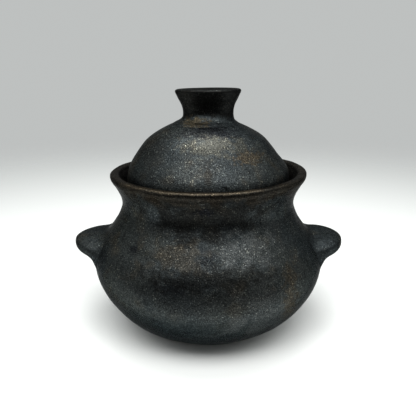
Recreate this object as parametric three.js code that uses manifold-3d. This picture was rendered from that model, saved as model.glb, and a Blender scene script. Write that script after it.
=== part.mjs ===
// A lidded black clay cooking pot (barro negro olla): a round-bottomed vessel with two
// tongue-shaped lugs, and a domed lid with a waisted knob that rests in the flare of the mouth.
// Millimetres, +Z up. The origin is the centre of the flat foot, on the surface the pot stands on.
// The lugs point along +X and -X.

import * as THREE from 'three';
import { mergeVertices } from 'three/addons/utils/BufferGeometryUtils.js';
import Module from 'manifold-3d';

const wasm = await Module();
wasm.setup();

// Driving dimensions, mm.
const CLAY_GAP = 0.3; // between pieces that touch
const ROUND_SEGMENTS = 48;
const POT_STEPS = 26; // along the outline of each piece
const LID_STEPS = 18;
const KNOB_STEPS = 10;

const POT_WALL = 8;
const FLOOR_THICKNESS = 8;
// Outside of the vessel from the edge of the foot to the lip, as [radius, height].
const POT_OUTSIDE = [
  [38, 0], // edge of the flat foot
  [52.6, 4.7],
  [66.5, 12.5],
  [78.8, 22.5],
  [88, 34.4],
  [94, 46.3],
  [97.3, 57],
  [98.2, 66], // widest
  [96.5, 74.4],
  [92.4, 82.2],
  [86.6, 89.4],
  [81.6, 96.2],
  [77.4, 102.8],
  [73.9, 111],
  [73.4, 116.5], // neck
  [74.3, 122.5],
  [77.8, 130.2],
  [81.5, 135.6],
  [82.5, 138.3], // side of the lip
];

const LID_WALL = 6.4;
// Outside of the lid from its crown to the side of its edge.
const LID_OUTSIDE = [
  [0, 186], // crown
  [14, 184.3],
  [26.8, 180.1],
  [37, 175.6],
  [46, 170],
  [53.3, 162.8],
  [58.3, 156.2],
  [63.2, 149.8],
  [67, 143.4],
  [68.4, 136.8],
  [68.4, 130.3],
];

const CROWN_CURVATURE_RADIUS = 61; // of the lid under the knob
const KNOB_FOOT_RADIUS = 26.2;
const KNOB_HEIGHT = 208; // top of the knob above the foot of the pot
const KNOB_TOP_RADIUS = 27;
const KNOB_EDGE_RADIUS = 1.4;
const KNOB_DISH_RADIUS = 21;
const KNOB_DISH_DEPTH = 3;
// Side of the knob from its foot, which spreads over the crown, to its top edge.
const KNOB_SIDE = [
  [KNOB_FOOT_RADIUS, 181.3],
  [23, 183.2],
  [21.2, 187],
  [20.9, 190.5], // waist
  [22, 195.6],
  [24.6, 201],
  [KNOB_TOP_RADIUS, KNOB_HEIGHT - KNOB_EDGE_RADIUS],
];

const LUG_TIP_RADIUS = 118.4; // from the axis of the pot
const LUG_LENGTH = 25.2; // from its widest station, inside the wall, to its tip
const LUG_HALF_WIDTH = 31;
const LUG_HEIGHT = 75; // of its middle above the foot, at its widest station
const LUG_RISE = 2; // of its middle from there to its tip
const LUG_HALF_THICKNESS_TIP = 5;
const LUG_HALF_THICKNESS_ROOT = 16.8;
const LUG_PLAN_EXPONENT = 1.1; // above 1 draws the tongue in towards its tip
const LUG_EDGE_EXPONENT = 0.75; // below 1 fills out its rounded edge

// Turns [radius, height] pairs into a smooth outline with a given number of steps.
function smoothOutline(stations, steps) {
  const points = stations.map(([radius, height]) => new THREE.Vector2(radius, height));
  return new THREE.SplineCurve(points).getSpacedPoints(steps);
}

// Moves an outline sideways by a distance, to its left as seen along its own direction.
function offsetOutline(outline, distance) {
  return outline.map((point, i) => {
    const before = outline[Math.max(i - 1, 0)];
    const after = outline[Math.min(i + 1, outline.length - 1)];
    const along = after.clone().sub(before).normalize();
    return new THREE.Vector2(point.x - along.y * distance, point.y + along.x * distance);
  });
}

// Points on an arc, without its two ends.
function arcBetween(centre, radius, startAngle, endAngle, steps) {
  const points = [];
  for (let i = 1; i < steps; i++) {
    const angle = startAngle + ((endAngle - startAngle) * i) / steps;
    const x = centre.x + radius * Math.cos(angle);
    const y = centre.y + radius * Math.sin(angle);
    points.push(new THREE.Vector2(x, y));
  }
  return points;
}

function onAxis(height) {
  return new THREE.Vector2(0, height);
}

// Turns an outline that starts and ends on the axis into a solid of revolution about Z.
function turned(outline) {
  const geometry = new THREE.LatheGeometry(outline, ROUND_SEGMENTS);
  geometry.rotateX(Math.PI / 2);
  return weld(geometry);
}

// Leaves only positions, with shared vertices merged and no collapsed triangle.
function weld(geometry) {
  geometry.deleteAttribute('normal');
  geometry.deleteAttribute('uv');
  const merged = mergeVertices(geometry, 1e-4);
  const index = merged.getIndex().array;
  const kept = [];
  for (let i = 0; i < index.length; i += 3) {
    const [a, b, c] = index.slice(i, i + 3);
    if (a !== b && b !== c && c !== a) {
      kept.push(a, b, c);
    }
  }
  merged.setIndex(kept);
  return merged;
}

function toSolid(geometry) {
  return new wasm.Manifold(new wasm.Mesh({
    numProp: 3,
    vertProperties: new Float32Array(geometry.getAttribute('position').array),
    triVerts: new Uint32Array(geometry.getIndex().array),
  }));
}

function toGeometry(solid) {
  const mesh = solid.getMesh();
  const geometry = new THREE.BufferGeometry();
  geometry.setAttribute('position', new THREE.BufferAttribute(mesh.vertProperties, 3));
  geometry.setIndex(new THREE.BufferAttribute(mesh.triVerts, 1));
  return geometry;
}

function clay(colour, roughness) {
  return new THREE.MeshStandardMaterial({ color: colour, roughness, metalness: 0 });
}

function namedMesh(name, geometry, material) {
  geometry.computeVertexNormals();
  const mesh = new THREE.Mesh(geometry, material);
  mesh.name = name;
  return mesh;
}

// The vessel: one even wall all round, ending in a lip rolled over a half circle.
const potOutside = smoothOutline(POT_OUTSIDE, POT_STEPS);

function makePotBody() {
  const inside = offsetOutline(potOutside, POT_WALL).reverse();
  const lipSide = potOutside.at(-1);
  const lipRadius = POT_WALL / 2;
  const lipCentre = new THREE.Vector2(lipSide.x - lipRadius, lipSide.y);
  const lip = arcBetween(lipCentre, lipRadius, 0, Math.PI, 6);
  return turned([onAxis(0), ...potOutside, ...lip, ...inside, onAxis(FLOOR_THICKNESS)]);
}

// One lug: a ball of clay drawn out into a flat tongue, thick at its root, and cut to the wall.
function makeLug(side) {
  const wall = offsetOutline(potOutside, -CLAY_GAP);
  const wallSolid = toSolid(turned([onAxis(wall[0].y), ...wall, onAxis(wall.at(-1).y)]));
  const tongue = new THREE.SphereGeometry(1, 32, 14);
  tongue.rotateX(Math.PI / 2);
  const position = tongue.getAttribute('position');
  for (let i = 0; i < position.count; i++) {
    const azimuth = Math.atan2(position.getY(i), position.getX(i));
    const slope = Math.asin(THREE.MathUtils.clamp(position.getZ(i), -1, 1));
    const spread = signedPower(Math.cos(slope), LUG_EDGE_EXPONENT);
    const reach = spread * signedPower(Math.cos(azimuth), LUG_PLAN_EXPONENT);
    const across = spread * signedPower(Math.sin(azimuth), LUG_PLAN_EXPONENT);
    const rise = signedPower(Math.sin(slope), LUG_EDGE_EXPONENT);
    const halfThickness = THREE.MathUtils.mapLinear(
      reach, -1, 1, LUG_HALF_THICKNESS_ROOT, LUG_HALF_THICKNESS_TIP,
    );
    position.setXYZ(
      i,
      LUG_TIP_RADIUS + LUG_LENGTH * (reach - 1),
      LUG_HALF_WIDTH * across,
      LUG_HEIGHT + LUG_RISE * reach + halfThickness * rise,
    );
  }
  const outerTongue = toSolid(weld(tongue)).subtract(wallSolid);
  const lug = toGeometry(outerTongue);
  lug.rotateZ(side > 0 ? 0 : Math.PI);
  return lug;
}

function signedPower(value, exponent) {
  return Math.sign(value) * Math.abs(value) ** exponent;
}

// The lid: an even wall, with its edge rolled under where it meets the mouth.
function makeLidDome() {
  const outside = smoothOutline(LID_OUTSIDE, LID_STEPS);
  const inside = offsetOutline(outside, -LID_WALL).reverse();
  const edgeRadius = LID_WALL / 2;
  const edgeSide = outside.at(-1);
  const edgeCentre = new THREE.Vector2(edgeSide.x - edgeRadius, edgeSide.y);
  const edge = arcBetween(edgeCentre, edgeRadius, 0, -Math.PI, 6);
  inside[inside.length - 1].x = 0;
  return turned([...outside, ...edge, ...inside].reverse());
}

// The knob: a waisted stem that spreads on to the crown of the lid, with a shallow dish on top.
function makeLidKnob() {
  const side = smoothOutline(KNOB_SIDE, KNOB_STEPS);
  const edgeCentre = new THREE.Vector2(
    KNOB_TOP_RADIUS - KNOB_EDGE_RADIUS,
    KNOB_HEIGHT - KNOB_EDGE_RADIUS,
  );
  const edge = arcBetween(edgeCentre, KNOB_EDGE_RADIUS, 0, Math.PI / 2, 3);
  const dishStart = new THREE.Vector2(KNOB_DISH_RADIUS, KNOB_HEIGHT - KNOB_EDGE_RADIUS / 2);
  const dishFloor = KNOB_HEIGHT - KNOB_DISH_DEPTH;
  const dish = new THREE.Vector2(KNOB_DISH_RADIUS * 0.6, dishFloor + KNOB_EDGE_RADIUS / 2);
  return turned([...crownUnderKnob(), ...side, ...edge, dishStart, dish, onAxis(dishFloor)]);
}

// The underside of the knob follows the crown of the lid, clear of it by the clay gap.
function crownUnderKnob() {
  const steps = 6;
  const crownHeight = LID_OUTSIDE[0][1] + CLAY_GAP;
  const points = [];
  for (let i = 0; i < steps; i++) {
    const radius = (KNOB_FOOT_RADIUS * i) / steps;
    const drop = radius ** 2 / (2 * CROWN_CURVATURE_RADIUS);
    points.push(new THREE.Vector2(radius, crownHeight - drop));
  }
  return points;
}

const pot = new THREE.Group();
pot.add(namedMesh('pot_body', makePotBody(), clay(0x2a2c2b, 0.55)));
pot.add(namedMesh('left_lug_handle', makeLug(-1), clay(0x262827, 0.6)));
pot.add(namedMesh('right_lug_handle', makeLug(1), clay(0x262827, 0.6)));

const lid = new THREE.Group();
lid.add(namedMesh('lid_dome', makeLidDome(), clay(0x333432, 0.5)));
lid.add(namedMesh('lid_knob', makeLidKnob(), clay(0x1a1b19, 0.55)));

const olla = new THREE.Group();
olla.add(pot, lid);

export default olla;
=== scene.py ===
"""A lidded black clay cooking pot (barro negro olla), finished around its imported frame.

Blender works in metres with +Z up. Shapes are worked out here in millimetres in the same frame:
the origin is the centre of the foot, and the lugs point along +X and -X.
"""

import math

import bmesh
import bpy
import numpy as np
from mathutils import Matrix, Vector, noise


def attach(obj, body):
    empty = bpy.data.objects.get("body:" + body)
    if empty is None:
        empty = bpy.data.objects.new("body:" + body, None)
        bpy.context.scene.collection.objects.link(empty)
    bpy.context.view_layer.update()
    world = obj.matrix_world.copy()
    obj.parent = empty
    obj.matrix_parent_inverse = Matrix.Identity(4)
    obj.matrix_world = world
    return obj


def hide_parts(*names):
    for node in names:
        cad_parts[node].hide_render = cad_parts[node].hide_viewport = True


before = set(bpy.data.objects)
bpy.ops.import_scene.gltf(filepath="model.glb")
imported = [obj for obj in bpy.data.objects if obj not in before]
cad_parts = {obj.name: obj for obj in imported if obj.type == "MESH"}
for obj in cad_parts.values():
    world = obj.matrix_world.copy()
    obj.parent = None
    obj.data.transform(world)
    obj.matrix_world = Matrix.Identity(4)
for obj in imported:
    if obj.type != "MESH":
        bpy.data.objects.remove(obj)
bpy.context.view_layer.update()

MM = 0.001

# How finely the turned pieces are divided, round the axis and along the outline.
POT_SEGMENTS = 240
DOME_SEGMENTS = 200
KNOB_SEGMENTS = 144
OUTLINE_STEP = 1.8
KNOB_OUTLINE_STEP = 1.2

# How the hand-built pot departs from the true turned shape, in millimetres or as a share. A zone
# gives the heights where a departure begins and is whole, and where it starts to fade and is over.
RIM_TILT = 0.0095  # of the neck and rim, rising to the right
RIM_TILT_ZONE = (95, 140)
LID_TILT = 0.0035  # of the lid, on top of that
LID_TILT_ZONE = (150, 205)
SHOULDER_FLATTENING = 0.039  # from front to back
SHOULDER_HEIGHT = 73
SHOULDER_REACH = 26  # up and down from that height
BELLY_WIDENING = 0.012
BELLY_SHIFT = 0.4  # to the right
BELLY_ZONE = (6, 30, 66, 80)
DOME_WIDENING = 0.004
DOME_ZONE = (142, 156, 172, 184)
DOME_SHIFT = 1.4  # to the left
DOME_SHIFT_ZONE = (142, 156, 180, 186)
CROWN_SHIFT = 0.3  # to the left as well
CROWN_SHIFT_ZONE = (170, 178)
CROWN_NARROWING = 0.03
CROWN_ZONE = (166, 176, 184, 190)
FULLNESS = 0.6  # upwards
FULLNESS_ZONE = (158, 174, 180, 190)
FULLNESS_ON_RIGHT = 0.4  # share of it that is left on the right
FULLNESS_TURN = (-10, 30)  # from left to right
KNOB_SETTLING = 0.78  # downwards
KNOB_SETTLING_ZONE = (188, 203)
# The waves left by the hand, as (height, size, how much longer they are sideways). They die out
# up and down at the foot and the knob's top, and sideways at the tips of the lugs.
HAND_WAVES = [(0.55, 52, 1), (0.22, 19, 1), (0.11, 5, 3)]
WAVE_ZONE = (0, 12, 196, 206)
WAVE_END = (108, 118)
WAVE_SEED = 1

# The knob's foot, spread on to the crown of the lid, as [radius, height above the crown].
KNOB_SPREAD = [(36.0, -0.8), (33.5, -0.35), (31.0, -0.15), (28.5, 0.1), (26.4, 0.6)]
KNOB_FOOT_RADIUS = 26.0
KNOB_SPREAD_END = 24.0
KNOB_WAIST_HEIGHT = 190.0
CROWN_EDGE_HEIGHT = 150.0
# The hidden underside of the knob, as [radius, height above the edge of its foot].
KNOB_UNDERSIDE = [(0.0, 3.5), (20.0, 0.5)]

# One lug, as a tongue drawn out of the shoulder.
LUG_LENGTH = 25.2
LUG_HALF_WIDTH = 31.0
LUG_HEIGHT = 75.0
LUG_THICK_ROOT = 12.0
LUG_PLAN = 1.1
LUG_EDGE = 0.75
# Width of the fillet that runs it into the wall: above, below, and added at its two ends.
LUG_BLEND_ABOVE = 4.0
LUG_BLEND_BELOW = 7.0
LUG_BLEND_ENDS = 3.0
LUG_BLEND_TURN = 8.0  # up and down from its middle, between below and above
LUG_ENDS_ZONE = (12, 30)  # from its middle line
LUG_HEART = np.array([80.0, 0.0, LUG_HEIGHT])  # where the rays that trace its surface start
LUG_INNER = np.array([93.0, 0.0, LUG_HEIGHT])  # the hidden middle of its root
LUG_REACH = 75.0  # longest ray
LUG_OPENINGS = (0.3, 1.75)  # between which its edge is looked for, as angles in radians
LUG_RAY_CROWDING = 0.5  # below 1 crowds the rays towards its two ends
LUG_RINGS = 84
LUG_COLUMNS = 168
LUG_HIDDEN_RINGS = (0.15, 0.45, 0.75)  # share of the way from its edge to its hidden middle
LUG_SINK = 0.3  # of its edge, into the wall
LUG_SINK_ZONE = (0.8, 1.0)  # share of the way from its tip to its edge
SURFACE_HALVINGS = 32  # to find where a ray leaves the shape
EDGE_HALVINGS = 24  # to find where the blend ends
# Each lug's node, side, and (tip radius, rise of its middle to the tip, half thickness there).
LUGS = [
    ("left_lug_handle", -1, (117.4, 2.9, 7.4)),
    ("right_lug_handle", 1, (118.2, 3.2, 8.2)),
]

# The lip, pared flatter than a half circle: its outer corner is crisp and its top slopes inwards.
LIP_HEIGHT = 2.8
LIP_CREST = 0.62
LIP_INWARD_SLOPE = 0.1
LIP_STEPS = 12
CAD_LIP_STEPS = 6


def smoothstep(low, high, value):
    """Rises softly from 0 at low to 1 at high."""
    t = np.clip((value - low) / (high - low), 0.0, 1.0)
    return t * t * (3.0 - 2.0 * t)


def hill(begins, whole, fades, over, value):
    """Rises softly from 0 to 1, stays there, and falls softly back to 0."""
    return smoothstep(begins, whole, value) * (1 - smoothstep(fades, over, value))


# ---------------------------------------------------------------------------------------- shapes


def turned_outline(node):
    """Outline of a turned CAD node, from the axis round to the axis, as [radius, height]."""
    mesh = bmesh.new()
    mesh.from_mesh(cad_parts[node].data)
    bmesh.ops.remove_doubles(mesh, verts=mesh.verts, dist=1e-6)
    cut = {v for v in mesh.verts if abs(v.co.y) < 2e-6 and v.co.x > -2e-6}
    here = min((v for v in cut if v.co.x < 2e-6), key=lambda v: v.co.z)
    before = None
    outline = []
    while here is not None:
        outline.append((max(here.co.x, 0.0) / MM, here.co.z / MM))
        ways = [e.other_vert(here) for e in here.link_edges]
        ways = [v for v in ways if v in cut and v is not before]
        if before is not None and here.co.x < 2e-6:
            ways = []
        before, here = here, (ways[0] if ways else None)
    mesh.free()
    return np.array(outline)


def smooth_outline(points, step):
    """A smooth curve through the points, sampled about once every step."""
    points = np.asarray(points, float)
    spans = np.linalg.norm(np.diff(points, axis=0), axis=1)
    slopes = np.diff(points, axis=0) / spans[:, None]
    tangents = np.vstack([slopes[:1], slopes, slopes[-1:]])
    weights = np.concatenate([spans[:1], spans, spans[-1:]])
    before, after = weights[:-1, None], weights[1:, None]
    tangents = (tangents[:-1] * after + tangents[1:] * before) / (before + after)
    curve = []
    for i, span in enumerate(spans):
        steps = max(1, round(span / step))
        t = (np.arange(steps) / steps)[:, None]
        curve.append(
            (2 * t**3 - 3 * t**2 + 1) * points[i]
            + (t**3 - 2 * t**2 + t) * span * tangents[i]
            + (3 * t**2 - 2 * t**3) * points[i + 1]
            + (t**3 - t**2) * span * tangents[i + 1]
        )
    curve.append(points[-1:])
    return np.vstack(curve)


def turned(outline, segments):
    """Closed surface of revolution of an outline that starts and ends on the axis."""
    angle = np.arange(segments) * 2 * math.pi / segments
    rings = outline[1:-1]
    x = np.outer(rings[:, 0], np.cos(angle))
    y = np.outer(rings[:, 0], np.sin(angle))
    z = np.repeat(rings[:, 1:], segments, axis=1)
    points = np.stack([x, y, z], axis=-1).reshape(-1, 3)
    ends = np.array([[0, 0, outline[0, 1]], [0, 0, outline[-1, 1]]])
    first, last = len(points), len(points) + 1
    faces = []
    for i in range(len(rings) - 1):
        faces += ring_faces(i * segments, (i + 1) * segments, segments)
    faces += fan_faces(first, 0, segments)
    faces += fan_faces(last, (len(rings) - 1) * segments, segments)
    return np.vstack([points, ends]), faces


def ring_faces(start, next_start, count):
    """Quads between two rings of vertices."""
    return [
        (start + j, start + (j + 1) % count, next_start + (j + 1) % count, next_start + j)
        for j in range(count)
    ]


def fan_faces(tip, start, count):
    """Triangles between one vertex and a ring."""
    return [(tip, start + j, start + (j + 1) % count) for j in range(count)]


# Without a seed, Blender draws this noise anew on each run.
noise.seed_set(WAVE_SEED)


def warp_noise(point, size, stretch):
    """Smooth vector noise with features of the given size, longer along the horizontal."""
    scaled = Vector((point[0] / stretch, point[1] / stretch, point[2])) / size
    return noise.noise_vector(scaled)


def hand_wave(point):
    """How far the hand left a point from the smooth shape."""
    waves = [tall * warp_noise(point, size, longer) for tall, size, longer in HAND_WAVES]
    return sum(waves, Vector())


def handmade(points):
    """Carries points of the true turned shape to where they lie on the hand-built pot."""
    points = np.array(points, float)
    x, y, z = points.T
    belly = hill(*BELLY_ZONE, z)
    wider = BELLY_WIDENING * belly + DOME_WIDENING * hill(*DOME_ZONE, z)
    wider -= CROWN_NARROWING * hill(*CROWN_ZONE, z)
    aside = DOME_SHIFT + CROWN_SHIFT * smoothstep(*CROWN_SHIFT_ZONE, z)
    aside *= hill(*DOME_SHIFT_ZONE, z)
    shoulder = np.clip(1 - ((z - SHOULDER_HEIGHT) / SHOULDER_REACH) ** 2, 0, 1) ** 2
    tilt = RIM_TILT * smoothstep(*RIM_TILT_ZONE, z) + LID_TILT * smoothstep(*LID_TILT_ZONE, z)
    raised = FULLNESS * hill(*FULLNESS_ZONE, z)
    raised *= 1 - (1 - FULLNESS_ON_RIGHT) * smoothstep(*FULLNESS_TURN, x)
    raised -= KNOB_SETTLING * smoothstep(*KNOB_SETTLING_ZONE, z)
    settled = np.stack(
        [
            x * (1 + wider) + BELLY_SHIFT * belly - aside,
            y * (1 - SHOULDER_FLATTENING * shoulder),
            z + tilt * x + raised,
        ],
        axis=-1,
    )
    wobble = np.array([hand_wave(p) for p in points])
    wobble[:, 2] *= hill(*WAVE_ZONE, z)
    wobble[:, 0] *= 1 - smoothstep(*WAVE_END, np.abs(x))
    return settled + wobble


def add_piece(name, points, faces, body, slot, nodes, material):
    """Makes a closed, smoothly shaded piece that rides on a body and stands for CAD nodes."""
    mesh = bpy.data.meshes.new(name)
    mesh.from_pydata((handmade(points) * MM).tolist(), [], faces)
    shell = bmesh.new()
    shell.from_mesh(mesh)
    bmesh.ops.recalc_face_normals(shell, faces=shell.faces)
    shell.to_mesh(mesh)
    shell.free()
    mesh.shade_smooth()
    mesh.materials.append(material)
    piece = bpy.data.objects.new(name, mesh)
    bpy.context.scene.collection.objects.link(piece)
    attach(piece, body)
    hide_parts(*nodes)


def pared_lip(outline):
    """The vessel's outline with its rolled lip pared flatter."""
    top = int(np.argmax(outline[:, 1]))
    before_top = top - CAD_LIP_STEPS
    edge = int(np.argmax(outline[before_top:top, 0])) + before_top
    centre_height = outline[edge, 1]
    lip_radius = outline[top, 1] - centre_height
    centre_radius = outline[top, 0]
    over = outline[:, 1] > centre_height + 1e-3
    angle = np.linspace(0, math.pi, LIP_STEPS + 1)[1:-1]
    across = np.sign(np.cos(angle)) * np.abs(np.cos(angle)) ** LIP_CREST
    radius = centre_radius + lip_radius * across
    height = centre_height + LIP_HEIGHT * np.sin(angle) ** LIP_CREST
    height += LIP_INWARD_SLOPE * (radius - centre_radius)
    lip = np.stack([radius, height], axis=-1)
    first = int(np.argmax(over))
    return np.vstack([outline[:first], lip, outline[first + int(over.sum()) :]])


def outer_wall(outline):
    """The outside part of the vessel's outline, from the edge of the foot to the lip."""
    return outline[1 : int(np.argmax(outline[:, 1]))]


def wall_distance(points, wall):
    """Distance of points from the outside of the vessel, positive outside it."""
    radius = np.hypot(points[..., 0], points[..., 1])
    height = points[..., 2]
    wall_radius = np.interp(height, wall[:, 1], wall[:, 0])
    slope = np.gradient(wall[:, 0], wall[:, 1])
    steepness = np.interp(height, wall[:, 1], slope)
    return (radius - wall_radius) / np.sqrt(1 + steepness**2)


def tongue_value(points, lug):
    """Below 0 inside the tongue and above 0 outside it, in no unit."""
    tip, rise_to_tip, thick_tip = lug
    reach = (points[..., 0] - (tip - LUG_LENGTH)) / LUG_LENGTH
    across = points[..., 1] / LUG_HALF_WIDTH
    middle = LUG_HEIGHT + rise_to_tip * reach
    drawn = np.clip((reach + 1) / 2, 0, 1)
    half_thickness = LUG_THICK_ROOT + (thick_tip - LUG_THICK_ROOT) * drawn
    rise = (points[..., 2] - middle) / half_thickness
    plan = np.abs(reach) ** (2 / LUG_PLAN) + np.abs(across) ** (2 / LUG_PLAN)
    whole = np.abs(rise) ** (2 / LUG_EDGE) + plan ** (LUG_PLAN / LUG_EDGE)
    return whole ** (LUG_EDGE / 2) - 1


def tongue_distance(points, lug):
    """Distance of points from the tongue, to first order."""
    step = 0.2
    gradient = [
        (tongue_value(points + aside, lug) - tongue_value(points - aside, lug)) / (2 * step)
        for aside in np.eye(3) * step
    ]
    return tongue_value(points, lug) / np.sqrt(sum(g**2 for g in gradient) + 1e-9)


def blend_width(points):
    """Width of the fillet between lug and wall: wider below, and wider still at the two ends."""
    height = points[..., 2]
    below = 1 - smoothstep(LUG_HEIGHT - LUG_BLEND_TURN, LUG_HEIGHT + LUG_BLEND_TURN, height)
    ends = smoothstep(*LUG_ENDS_ZONE, np.abs(points[..., 1]))
    return LUG_BLEND_ABOVE + (LUG_BLEND_BELOW - LUG_BLEND_ABOVE) * below + LUG_BLEND_ENDS * ends


def lug_distance(points, wall, lug):
    """Distance from the vessel and the tongue run together in a soft fillet."""
    tongue = tongue_distance(points, lug)
    vessel = wall_distance(points, wall)
    width = blend_width(points)
    overlap = np.clip(width - np.abs(tongue - vessel), 0, None) / width
    return np.minimum(tongue, vessel) - overlap**2 * width / 4


def reach_surface(directions, distance):
    """Where rays out of the heart of the lug leave the shape, by bisection."""
    near = np.zeros(directions.shape[:-1])
    far = np.full(directions.shape[:-1], LUG_REACH)
    for _ in range(SURFACE_HALVINGS):
        middle = (near + far) / 2
        inside = distance(LUG_HEART + directions * middle[..., None]) < 0
        near = np.where(inside, middle, near)
        far = np.where(inside, far, middle)
    return LUG_HEART + directions * near[..., None]


def make_lug(side, wall, lug):
    """A lug and the skirt of clay that smears it on to the shoulder."""
    turn = np.arange(LUG_COLUMNS) * 2 * math.pi / LUG_COLUMNS
    around = np.arctan2(LUG_RAY_CROWDING * np.sin(turn), np.cos(turn))

    def direction(opening, about):
        return np.stack(
            [np.cos(opening), np.sin(opening) * np.cos(about), np.sin(opening) * np.sin(about)],
            axis=-1,
        )

    low, high = (np.full(LUG_COLUMNS, angle) for angle in LUG_OPENINGS)
    for _ in range(EDGE_HALVINGS):
        middle = (low + high) / 2
        on_wall = reach_surface(direction(middle, around), lambda p: wall_distance(p, wall))
        blended = tongue_distance(on_wall, lug) < blend_width(on_wall)
        low = np.where(blended, middle, low)
        high = np.where(blended, high, middle)
    share = np.arange(1, LUG_RINGS + 1) / LUG_RINGS
    opening = share[:, None] * high[None, :]
    rays = direction(opening, np.broadcast_to(around, opening.shape))
    rings = reach_surface(rays, lambda p: lug_distance(p, wall, lug))
    tip = reach_surface(np.array([[1.0, 0.0, 0.0]]), lambda p: lug_distance(p, wall, lug))
    sink = LUG_SINK * smoothstep(*LUG_SINK_ZONE, share)[:, None, None]
    level = rings * [1, 1, 0]
    rings = rings - level / np.linalg.norm(level, axis=-1, keepdims=True) * sink
    hidden = [rings[-1] + (LUG_INNER - rings[-1]) * t for t in LUG_HIDDEN_RINGS]
    rings = np.concatenate([rings, hidden])
    points = np.vstack([rings.reshape(-1, 3), tip, LUG_INNER[None]])
    faces = []
    for i in range(len(rings) - 1):
        faces += ring_faces(i * LUG_COLUMNS, (i + 1) * LUG_COLUMNS, LUG_COLUMNS)
    faces += fan_faces(len(points) - 2, 0, LUG_COLUMNS)
    faces += fan_faces(len(points) - 1, (len(rings) - 1) * LUG_COLUMNS, LUG_COLUMNS)
    return points * [side, side, 1], faces


def knob_outline(outline, crown):
    """The CAD knob's side and top, with its foot spread thinly over the crown of the lid."""
    foot = int(np.argmax(outline[:, 0] > KNOB_FOOT_RADIUS))
    side = outline[foot:]
    flare = (side[:, 0] > KNOB_SPREAD_END) & (side[:, 1] < KNOB_WAIST_HEIGHT)
    order = np.argsort(crown[:, 0])
    radii, heights = crown[order].T
    spread = [(radius, np.interp(radius, radii, heights) + lift) for radius, lift in KNOB_SPREAD]
    under = [(radius, spread[0][1] + lift) for radius, lift in KNOB_UNDERSIDE]
    return np.vstack([under, spread, side[~flare]])


def outer_crown(outline):
    """The top of the lid's outside, from the axis down to where it turns steep."""
    from_axis = outline[::-1]
    return from_axis[: int(np.argmax(from_axis[:, 1] < CROWN_EDGE_HEIGHT)) + 1]


# ------------------------------------------------------------------------------------- materials


# Colours of the clay. It shines like graphite, so each one tints the light that it reflects.
BLUE_BLACK = (0.036, 0.042, 0.0445)
GREY_BLACK = (0.0465, 0.0515, 0.0505)
BROWN_CLOUD = (0.055, 0.048, 0.037)
SOOT_STREAK = (0.016, 0.017, 0.018)
BROWN = (0.062, 0.052, 0.038)
TAN = (0.057, 0.047, 0.034)
# painted highlight: lifts the warm sheen on the front of the dome
HIGHLIGHT_WARM_GREY = (0.066, 0.064, 0.052)
WARM_BROWN = (0.085, 0.070, 0.046)
DARK_BROWN = (0.030, 0.025, 0.019)
# The next two are real soot and smoke, and are also used as painted shade where the sheen should fall
# dim.
SOOT_AND_SHADE = (0.012, 0.013, 0.016)
SMOKE_AND_SHADE = (0.012, 0.0115, 0.0105)
DULL_BLACK = (0.030, 0.031, 0.030)
RUN_BLACK = (0.024, 0.022, 0.019)
# painted shade: darkens and blues the underside of the belly
SHADE_BLUE = (0.018, 0.0255, 0.0285)
# painted highlight: lifts the sheen on the right of the shoulder and belly
HIGHLIGHT_STEEL = (0.078, 0.084, 0.084)

# Factors that darken or brighten those colours.
BURNISH_SHADE = (0.5, 0.5, 0.5)
GRAIN_SHADE = (0.25, 0.25, 0.25)
GRAIN_GLINT = (2.7, 2.7, 2.6)
COLD_MICA = (3.2, 3.2, 3.1)
WARM_MICA = (3.5, 3.25, 2.85)

# Sizes of the features of the clay, in millimetres.
CLOUD_SIZE = 38
PATCH_SIZE = 14
SWELL_SIZE = 11
STREAK_SIZE = 4.0
GRIT_SIZE = 2.2
BURNISH_SIZE = 1.8
GRAIN_SIZE = 0.85
PIT_SPACING = 7.5
FLECK_SPACING = 1.35

METALLIC = 0.94
EDGE_TINT = (0.3, 0.3, 0.3, 1.0)  # keeps the edges of the silhouette from turning white
LIP_SLOPE = 0.0115  # of the finished lip, rising to the right


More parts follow.
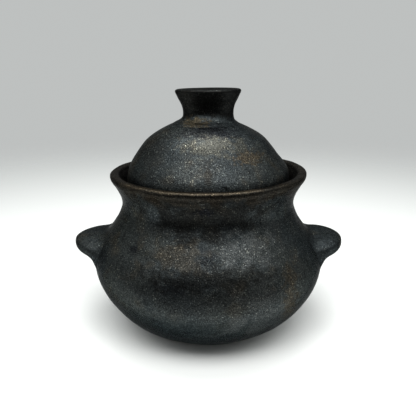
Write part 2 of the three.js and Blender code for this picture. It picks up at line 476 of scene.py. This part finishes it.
class Surface:
    """Builds one procedural material, in millimetres of the object's own frame."""

    def __init__(self, name):
        self.material = bpy.data.materials.new(name)
        self.material.use_nodes = True
        self.tree = self.material.node_tree
        self.shader = self.tree.nodes["Principled BSDF"]
        place = self.node("ShaderNodeTexCoord").outputs["Object"]
        self.place = self.vector("MULTIPLY", place, (1000, 1000, 1000))
        split = self.node("ShaderNodeSeparateXYZ", Vector=self.place)
        self.across, self.height = split.outputs["X"], split.outputs["Z"]
        self.radius = self.length(self.vector("MULTIPLY", self.place, (1, 1, 0)))

    def node(self, kind, settings=(), **inputs):
        """A new node with the given settings, its named inputs fed."""
        made = self.tree.nodes.new(kind)
        for name, value in dict(settings).items():
            setattr(made, name, value)
        for name, value in inputs.items():
            self.feed(made.inputs[name.replace("_", " ")], value)
        return made

    def feed(self, socket, value):
        """Links a socket to the value, or sets it to a constant."""
        if isinstance(value, bpy.types.NodeSocket):
            self.tree.links.new(value, socket)
        else:
            socket.default_value = value

    def vector(self, operation, a, b):
        made = self.node("ShaderNodeVectorMath", {"operation": operation})
        self.feed(made.inputs[0], a)
        self.feed(made.inputs[1], b)
        return made.outputs["Vector"]

    def length(self, a):
        made = self.node("ShaderNodeVectorMath", {"operation": "LENGTH"})
        self.feed(made.inputs[0], a)
        return made.outputs["Value"]

    def maths(self, operation, a, b=0.0, clamp=False):
        made = self.node("ShaderNodeMath", {"operation": operation, "use_clamp": clamp})
        self.feed(made.inputs[0], a)
        self.feed(made.inputs[1], b)
        return made.outputs[0]

    def noise(self, size, detail=2.0, stretch=(1, 1, 1), shift=0.0, rough=0.5):
        """Noise from 0 to 1 with features of the given size."""
        scale = [1 / (size * s) for s in stretch]
        place = self.vector("MULTIPLY", self.place, scale)
        place = self.vector("ADD", place, (shift, shift, shift))
        made = self.node("ShaderNodeTexNoise", Vector=place, Scale=1.0, Detail=detail)
        made.inputs["Roughness"].default_value = rough
        return made.outputs["Fac"]

    def cells(self, size, shift=0.0):
        """(distance from the nearest grain, that grain's own random colour)."""
        place = self.vector("MULTIPLY", self.place, (1 / size, 1 / size, 1 / size))
        place = self.vector("ADD", place, (shift, shift, shift))
        made = self.node("ShaderNodeTexVoronoi", Vector=place, Scale=1.0)
        return made.outputs["Distance"], made.outputs["Color"]

    def band(self, value, low, high, start=0.0, end=1.0):
        """Maps value from low..high to start..end, smoothly, and holds it outside."""
        made = self.node("ShaderNodeMapRange", {"interpolation_type": "SMOOTHSTEP"}, Value=value)
        for name, number in (
            ("From Min", low), ("From Max", high), ("To Min", start), ("To Max", end),
        ):
            made.inputs[name].default_value = number
        return made.outputs["Result"]

    def ragged(self, value, size, amount):
        """The value, moved up or down by up to that amount, for a ragged edge."""
        return self.maths("ADD", value, self.band(self.noise(size, 3.0), 0.3, 0.7, -amount, amount))

    def mix(self, share, a, b, blend="MIX"):
        """Colour a where the share is 0, and a blended with b where it is 1."""
        made = self.node("ShaderNodeMix", {"data_type": "RGBA", "blend_type": blend})
        made.clamp_factor = True
        self.feed(made.inputs["Factor"], share)
        first, second = (socket for socket in made.inputs if socket.type == "RGBA")
        for socket, colour in ((first, a), (second, b)):
            self.feed(socket, (*colour, 1.0) if isinstance(colour, tuple) else colour)
        return next(socket for socket in made.outputs if socket.type == "RGBA")

    def bump(self, height, distance, strength=1.0, below=None):
        """Raises the surface by height, which is 0 to 1, times a distance in millimetres."""
        made = self.node("ShaderNodeBump", Height=height)
        made.inputs["Distance"].default_value = distance * MM
        made.inputs["Strength"].default_value = strength
        if below is not None:
            self.feed(made.inputs["Normal"], below)
        return made.outputs["Normal"]


def black_clay(name, marks, shift, fleck_radius=0.35):
    """Smoke-fired, burnished clay: a graphite-like sheen on bluish black, with brown clouds,
    mica and fine grit. The marks are (mask, colour) pairs laid over the clouds."""
    s = Surface(name)
    cloud = s.noise(CLOUD_SIZE, 3.0, shift=shift)
    patch = s.noise(PATCH_SIZE, 4.0, shift=shift + 7)
    burnish = s.noise(BURNISH_SIZE, 3.0, stretch=(7, 7, 1), shift=shift)
    streak = s.noise(STREAK_SIZE, 3.0, stretch=(1, 1, 6), shift=shift + 3)
    grain = s.noise(GRAIN_SIZE, 2.5, shift=shift, rough=0.6)
    grit = s.noise(GRIT_SIZE, 3.0, shift=shift + 5)

    colour = s.mix(s.band(cloud, 0.35, 0.65), BLUE_BLACK, GREY_BLACK)
    brown = s.maths("MULTIPLY", s.band(patch, 0.48, 0.66), s.band(cloud, 0.42, 0.62, 0.05, 0.6))
    brown = s.maths("MULTIPLY", brown, s.band(s.height, 35, 80, 0.3, 1.0))
    colour = s.mix(brown, colour, BROWN_CLOUD)
    soot = s.maths("MULTIPLY", s.band(streak, 0.55, 0.7), s.band(patch, 0.60, 0.4, 0.0, 0.6))
    colour = s.mix(soot, colour, SOOT_STREAK)
    for mask, tint in marks(s):
        colour = s.mix(mask, colour, tint)
    colour = s.mix(s.band(burnish, 0.3, 0.7, 0.0, 0.3), colour, BURNISH_SHADE, "MULTIPLY")
    colour = s.mix(s.band(grain, 0.5, 0.32, 0.0, 0.85), colour, GRAIN_SHADE, "MULTIPLY")
    colour = s.mix(s.band(grain, 0.54, 0.70, 0.0, 1.0), colour, GRAIN_GLINT, "MULTIPLY")
    distance, random = s.cells(FLECK_SPACING, shift)
    pick = s.node("ShaderNodeSeparateColor", Color=random)
    fleck_size = s.band(pick.outputs[0], 0.3, 1.0, 0.0, fleck_radius)
    fleck = s.maths("LESS_THAN", distance, fleck_size)
    warmth = s.mix(pick.outputs[1], COLD_MICA, WARM_MICA)
    fleck_strength = s.maths("MULTIPLY", fleck, s.band(patch, 0.3, 0.6, 0.4, 1.0))
    fleck_strength = s.maths("MULTIPLY", fleck_strength, s.band(s.height, 35, 80, 0.25, 1.0))
    colour = s.mix(fleck_strength, colour, warmth, "MULTIPLY")
    s.feed(s.shader.inputs["Base Color"], colour)

    roughness = s.band(grit, 0.3, 0.7, 0.33, 0.43)
    roughness = s.maths("ADD", roughness, s.band(patch, 0.35, 0.7, -0.03, 0.05))
    roughness = s.maths("SUBTRACT", roughness, s.maths("MULTIPLY", fleck, 0.08), clamp=True)
    s.feed(s.shader.inputs["Roughness"], roughness)
    s.shader.inputs["Metallic"].default_value = METALLIC
    s.shader.inputs["Specular Tint"].default_value = EDGE_TINT

    hole, which = s.cells(PIT_SPACING, shift + 11)
    chosen = s.node("ShaderNodeSeparateColor", Color=which).outputs[2]
    pit = s.maths("LESS_THAN", hole, s.band(chosen, 0.72, 1.0, 0.0, 0.12))
    normal = s.bump(s.noise(SWELL_SIZE, 2.0, shift=shift), 0.8, 0.6)
    normal = s.bump(burnish, 0.10, 0.6, normal)
    normal = s.bump(grit, 0.16, 0.7, normal)
    normal = s.bump(grain, 0.26, 0.9, normal)
    normal = s.bump(s.maths("SUBTRACT", 1.0, pit), 0.5, 0.9, normal)
    s.feed(s.shader.inputs["Normal"], normal)
    return s.material


def spot(s, centre, size, strength, raggedness=0.5):
    """Mask of a soft, ragged patch round a point."""
    place = s.vector("SUBTRACT", s.place, centre)
    place = s.vector("DIVIDE", place, size)
    edge = s.band(s.noise(min(size) * 0.6, 3.0), 0.25, 0.75, -raggedness, raggedness)
    return s.band(s.maths("ADD", s.length(place), edge), 1.2, 0.4, 0.0, strength)


def vessel_marks(s):
    """Where fire and use have marked the vessel, and where shade and highlights are painted on it."""
    level = s.maths("SUBTRACT", s.height, s.maths("MULTIPLY", s.across, LIP_SLOPE))
    lip_top = s.band(s.ragged(level, 5, 0.7), 139.6, 140.6)
    worn = s.maths("MULTIPLY", lip_top, spot(s, (-12, -80, 140), (75, 40, 20), 0.9))
    mouth = s.band(s.ragged(s.radius, 5, 0.8), 77.0, 74.8, 0.0, 0.85)
    inside = s.maths("MULTIPLY", mouth, s.band(s.height, 124, 130))
    return [
        (spot(s, (0, -72, 123), (54, 40, 23), 0.75), SMOKE_AND_SHADE),  # painted shade on the front of the neck
        (s.band(s.height, 62, 36, 0.0, 0.65), SHADE_BLUE),  # painted shade, bluish, on the underside of the belly
        (s.band(s.ragged(s.height, 9, 4), 128, 137, 0.0, 0.75), DARK_BROWN),  # the lip's own dark brown, and painted shade just below it
        (spot(s, (-18, -74, 92), (26, 30, 11), 0.45), BROWN),  # front of the shoulder
        # painted highlight on the right of the shoulder
        (spot(s, (29, -76, 97), (24, 30, 12), 0.8), HIGHLIGHT_STEEL),
        (spot(s, (-2, -78, 93), (8, 12, 7), 0.45), SOOT_AND_SHADE),
        (spot(s, (-2, -76, 126), (7, 12, 3.5), 0.9), SOOT_AND_SHADE),  # middle of the neck
        (spot(s, (-28, -91, 73), (14, 20, 5), 0.6), SOOT_AND_SHADE),
        (spot(s, (0, -94, 80), (62, 30, 9.5), 0.62), SMOKE_AND_SHADE),  # painted shade, a dark band along the edge of the shoulder
        (spot(s, (-56, -63, 93), (4, 6, 4), 0.8), SOOT_AND_SHADE),
        (spot(s, (40, -78, 44), (34, 30, 26), 0.55), HIGHLIGHT_STEEL),  # painted highlight on the right of the belly
        (spot(s, (62, -66, 58), (7, 30, 26), 0.6), BROWN),
        (worn, TAN),  # rubbed top of the lip
        # painted shade inside the mouth
        (inside, SMOKE_AND_SHADE),
        (s.band(s.ragged(s.height, 5, 0.8), 3.0, 0.4, 0.0, 0.7), BROWN),  # edge of the foot
    ]


def lug_marks(s):
    """The pinched rims of the lugs are rubbed brown."""
    out = s.ragged(s.maths("ABSOLUTE", s.across), 4, 2.0)
    return [(s.band(out, 111, 119, 0.0, 0.45), BROWN)]


def dome_marks(s):
    """A painted highlight, brown and dull patches on the dome, a brown edge, and painted shade in
    front of the knob.
    """
    return [
        # painted highlight on the front of the dome
        (spot(s, (5, -46, 168), (30, 30, 8), 0.6), HIGHLIGHT_WARM_GREY),
        (spot(s, (31, -46, 159), (14, 20, 5), 0.9), BROWN),
        (spot(s, (-43, -31, 163), (16, 30, 20), 0.6), DULL_BLACK),
        (spot(s, (0, -62, 147), (3, 12, 14), 0.6), RUN_BLACK),
        (s.band(s.ragged(s.height, 8, 3), 133.5, 130.0, 0.0, 0.6), BROWN),
        # painted shade in front of the knob's root
        (spot(s, (2, -33, 176.5), (24, 13, 6), 0.75), SOOT_AND_SHADE),
    ]


def knob_marks(s):
    """Black from just below the waist up, partly the knob's own smoke-black and partly painted shade
    that dims its sheen, with painted shade and a warm cloud in front of the root.
    """
    return [
        # painted shade in front of the root
        (spot(s, (6, -26, 179), (16, 12, 2.5), 0.3), SOOT_AND_SHADE),
        # the knob's own black, and painted shade that dims its sheen
        (s.band(s.ragged(s.height, 6, 3), 184.2, 188.0, 0.0, 0.8), SMOKE_AND_SHADE),
        (spot(s, (-11, -22, 182.5), (12, 14, 4.5), 0.8), WARM_BROWN),
    ]


# ---------------------------------------------------------------------------------------- pieces

pot_outline = pared_lip(turned_outline("pot_body"))
pot_curve = smooth_outline(pot_outline, OUTLINE_STEP)
pot_curve[:, 1] = np.maximum(pot_curve[:, 1], 0.0)
pot_wall = outer_wall(pot_outline)

add_piece(
    "vessel", *turned(pot_curve, POT_SEGMENTS), "pot", "pot_clay", ["pot_body"],
    black_clay("burnished_black_clay", vessel_marks, 0.0),
)
lug_clay = black_clay("pinched_black_clay", lug_marks, 0.0)
for node, side, lug in LUGS:
    name = node.replace("_handle", "")
    add_piece(name, *make_lug(side, pot_wall, lug), "pot", "pot_clay", [node], lug_clay)

dome_outline = turned_outline("lid_dome")
dome_curve = smooth_outline(dome_outline, OUTLINE_STEP)
add_piece(
    "dome", *turned(dome_curve, DOME_SEGMENTS), "lid", "lid_clay", ["lid_dome"],
    black_clay("smoked_lid_clay", dome_marks, 31.0, 0.38),
)
knob_points = knob_outline(turned_outline("lid_knob"), outer_crown(dome_outline))
knob_curve = smooth_outline(knob_points, KNOB_OUTLINE_STEP)
add_piece(
    "knob", *turned(knob_curve, KNOB_SEGMENTS), "lid", "lid_clay", ["lid_knob"],
    black_clay("smoked_knob_clay", knob_marks, 31.0),
)

# ----------------------------------------------------------------------------------------- stage

# Where the studio glows, by direction: (axis, from, to, brightness reached).
STUDIO_GLOW = [
    ("Z", 0.25, 0.65, 0.75),
    ("Y", 0.2, 0.9, 0.35),
    ("X", 0.3, 0.9, 0.35),
    ("X", -0.3, -0.9, 0.28),
]
STUDIO_DIM = 0.02
SURROUND = 0.53  # brightness of the plain surround, as the camera sees it
SURROUND_COLOUR = (0.97, 1.0, 0.99, 1.0)
FLOOR_REACH = 2.2
FLOOR_COLOUR = (0.60, 0.61, 0.60)
CARD_COLOUR = (0.03, 0.03, 0.03)
CAMERA_PLACE = (0.0, -0.3819, 0.2226)
CAMERA_DOWN = 16.95  # degrees
CAMERA_LENS = 39.43


def plain_material(name, colour, start, end):
    """Matt colour that turns clear, or comes in, between two distances from the middle."""
    material = bpy.data.materials.new(name)
    material.use_nodes = True
    tree = material.node_tree
    shader = tree.nodes["Principled BSDF"]
    shader.inputs["Base Color"].default_value = (*colour, 1.0)
    shader.inputs["Roughness"].default_value = 0.9
    shader.inputs["Specular IOR Level"].default_value = 0.0
    place = tree.nodes.new("ShaderNodeTexCoord")
    away = tree.nodes.new("ShaderNodeVectorMath")
    away.operation = "LENGTH"
    tree.links.new(place.outputs["Object"], away.inputs[0])
    ramp = tree.nodes.new("ShaderNodeMapRange")
    ramp.interpolation_type = "SMOOTHSTEP"
    ramp.inputs["From Min"].default_value = start
    ramp.inputs["From Max"].default_value = end
    tree.links.new(away.outputs["Value"], ramp.inputs["Value"])
    tree.links.new(ramp.outputs["Result"], shader.inputs["Alpha"])
    return material


def add_stage(name, points, material):
    """A flat four-sided sheet that belongs to the stage."""
    mesh = bpy.data.meshes.new(name)
    mesh.from_pydata(points, [], [(0, 1, 2, 3)])
    mesh.materials.append(material)
    piece = bpy.data.objects.new(name, mesh)
    bpy.context.scene.collection.objects.link(piece)
    return piece


def make_floor():
    """A pale floor that melts into the plain surround far from the pot."""
    corners = [(-1, -1), (1, -1), (1, 1), (-1, 1)]
    points = [(x * FLOOR_REACH, y * FLOOR_REACH, 0.0) for x, y in corners]
    return add_stage("floor", points, plain_material("pale_paper", FLOOR_COLOUR, start=1.25, end=0.2))


def make_dark_card():
    """A dark, soft-edged card on the floor in front, seen only in the pot's own sheen."""
    near, far, half, height = -0.13, -1.8, 1.6, 0.001
    points = [(-half, far, height), (half, far, height), (half, near, height), (-half, near, height)]
    card = add_stage("dark_card", points, plain_material("card", CARD_COLOUR, start=0.13, end=0.30))
    card.visible_camera = False
    card.visible_shadow = False
    card.visible_diffuse = False


def add_softbox(name, place, aim, size, power):
    """A soft rectangular light at a place, turned towards its aim."""
    light = bpy.data.lights.new(name, "AREA")
    light.shape = "RECTANGLE"
    light.size, light.size_y = size
    light.energy = power
    lamp = bpy.data.objects.new(name, light)
    lamp.location = place
    toward = Vector(aim) - Vector(place)
    lamp.rotation_euler = toward.to_track_quat("-Z", "Y").to_euler()
    bpy.context.scene.collection.objects.link(lamp)
    return lamp


def make_world():
    """Dim in front, brighter above, behind and beside, and plain pale where the camera sees it."""
    world = bpy.data.worlds.new("studio")
    world.use_nodes = True
    tree = world.node_tree
    background = tree.nodes["Background"]
    place = tree.nodes.new("ShaderNodeTexCoord")
    split = tree.nodes.new("ShaderNodeSeparateXYZ")
    glow = None
    for axis, low, high, strength in STUDIO_GLOW:
        ramp = tree.nodes.new("ShaderNodeMapRange")
        ramp.interpolation_type = "SMOOTHSTEP"
        ramp.inputs["From Min"].default_value = low
        ramp.inputs["From Max"].default_value = high
        ramp.inputs["To Min"].default_value = 0.0
        ramp.inputs["To Max"].default_value = strength
        tree.links.new(split.outputs[axis], ramp.inputs["Value"])
        total = tree.nodes.new("ShaderNodeMath")
        tree.links.new(ramp.outputs["Result"], total.inputs[0])
        total.inputs[1].default_value = STUDIO_DIM
        if glow is not None:
            tree.links.new(glow, total.inputs[1])
        glow = total.outputs[0]
    path = tree.nodes.new("ShaderNodeLightPath")
    seen = tree.nodes.new("ShaderNodeMix")
    seen.inputs["B"].default_value = SURROUND
    tree.links.new(place.outputs["Generated"], split.inputs["Vector"])
    tree.links.new(path.outputs["Is Camera Ray"], seen.inputs["Factor"])
    tree.links.new(glow, seen.inputs["A"])
    tree.links.new(seen.outputs["Result"], background.inputs["Strength"])
    background.inputs["Color"].default_value = SURROUND_COLOUR
    bpy.context.scene.world = world


def make_camera():
    """The camera that looks at the pot from the front and a little above."""
    camera = bpy.data.cameras.new("camera")
    camera.sensor_width = 36.0
    camera.lens = CAMERA_LENS
    camera.clip_start = 0.01
    camera.clip_end = 20.0
    holder = bpy.data.objects.new("camera", camera)
    holder.location = CAMERA_PLACE
    holder.rotation_euler = (math.radians(90 - CAMERA_DOWN), 0.0, 0.0)
    bpy.context.scene.collection.objects.link(holder)
    bpy.context.scene.camera = holder


lit_stage = bpy.data.collections.new("lit_stage")
lit_stage.objects.link(make_floor())
make_dark_card()
make_world()
add_softbox("overhead", place=(0.0, 0.05, 0.86), aim=(0, 0.05, 0), size=(0.6, 0.42), power=4.6)
add_softbox("front_fill", place=(0.0, -0.72, 0.95), aim=(0, 0, 0.1), size=(1.7, 0.36), power=6.0)
floor_light = add_softbox(
    "floor_light", place=(0.0, -0.5, 0.85), aim=(0, 0.05, 0), size=(0.8, 0.4), power=10.5
)
floor_light.light_linking.receiver_collection = lit_stage
make_camera()
bpy.context.scene.view_settings.view_transform = "Standard"
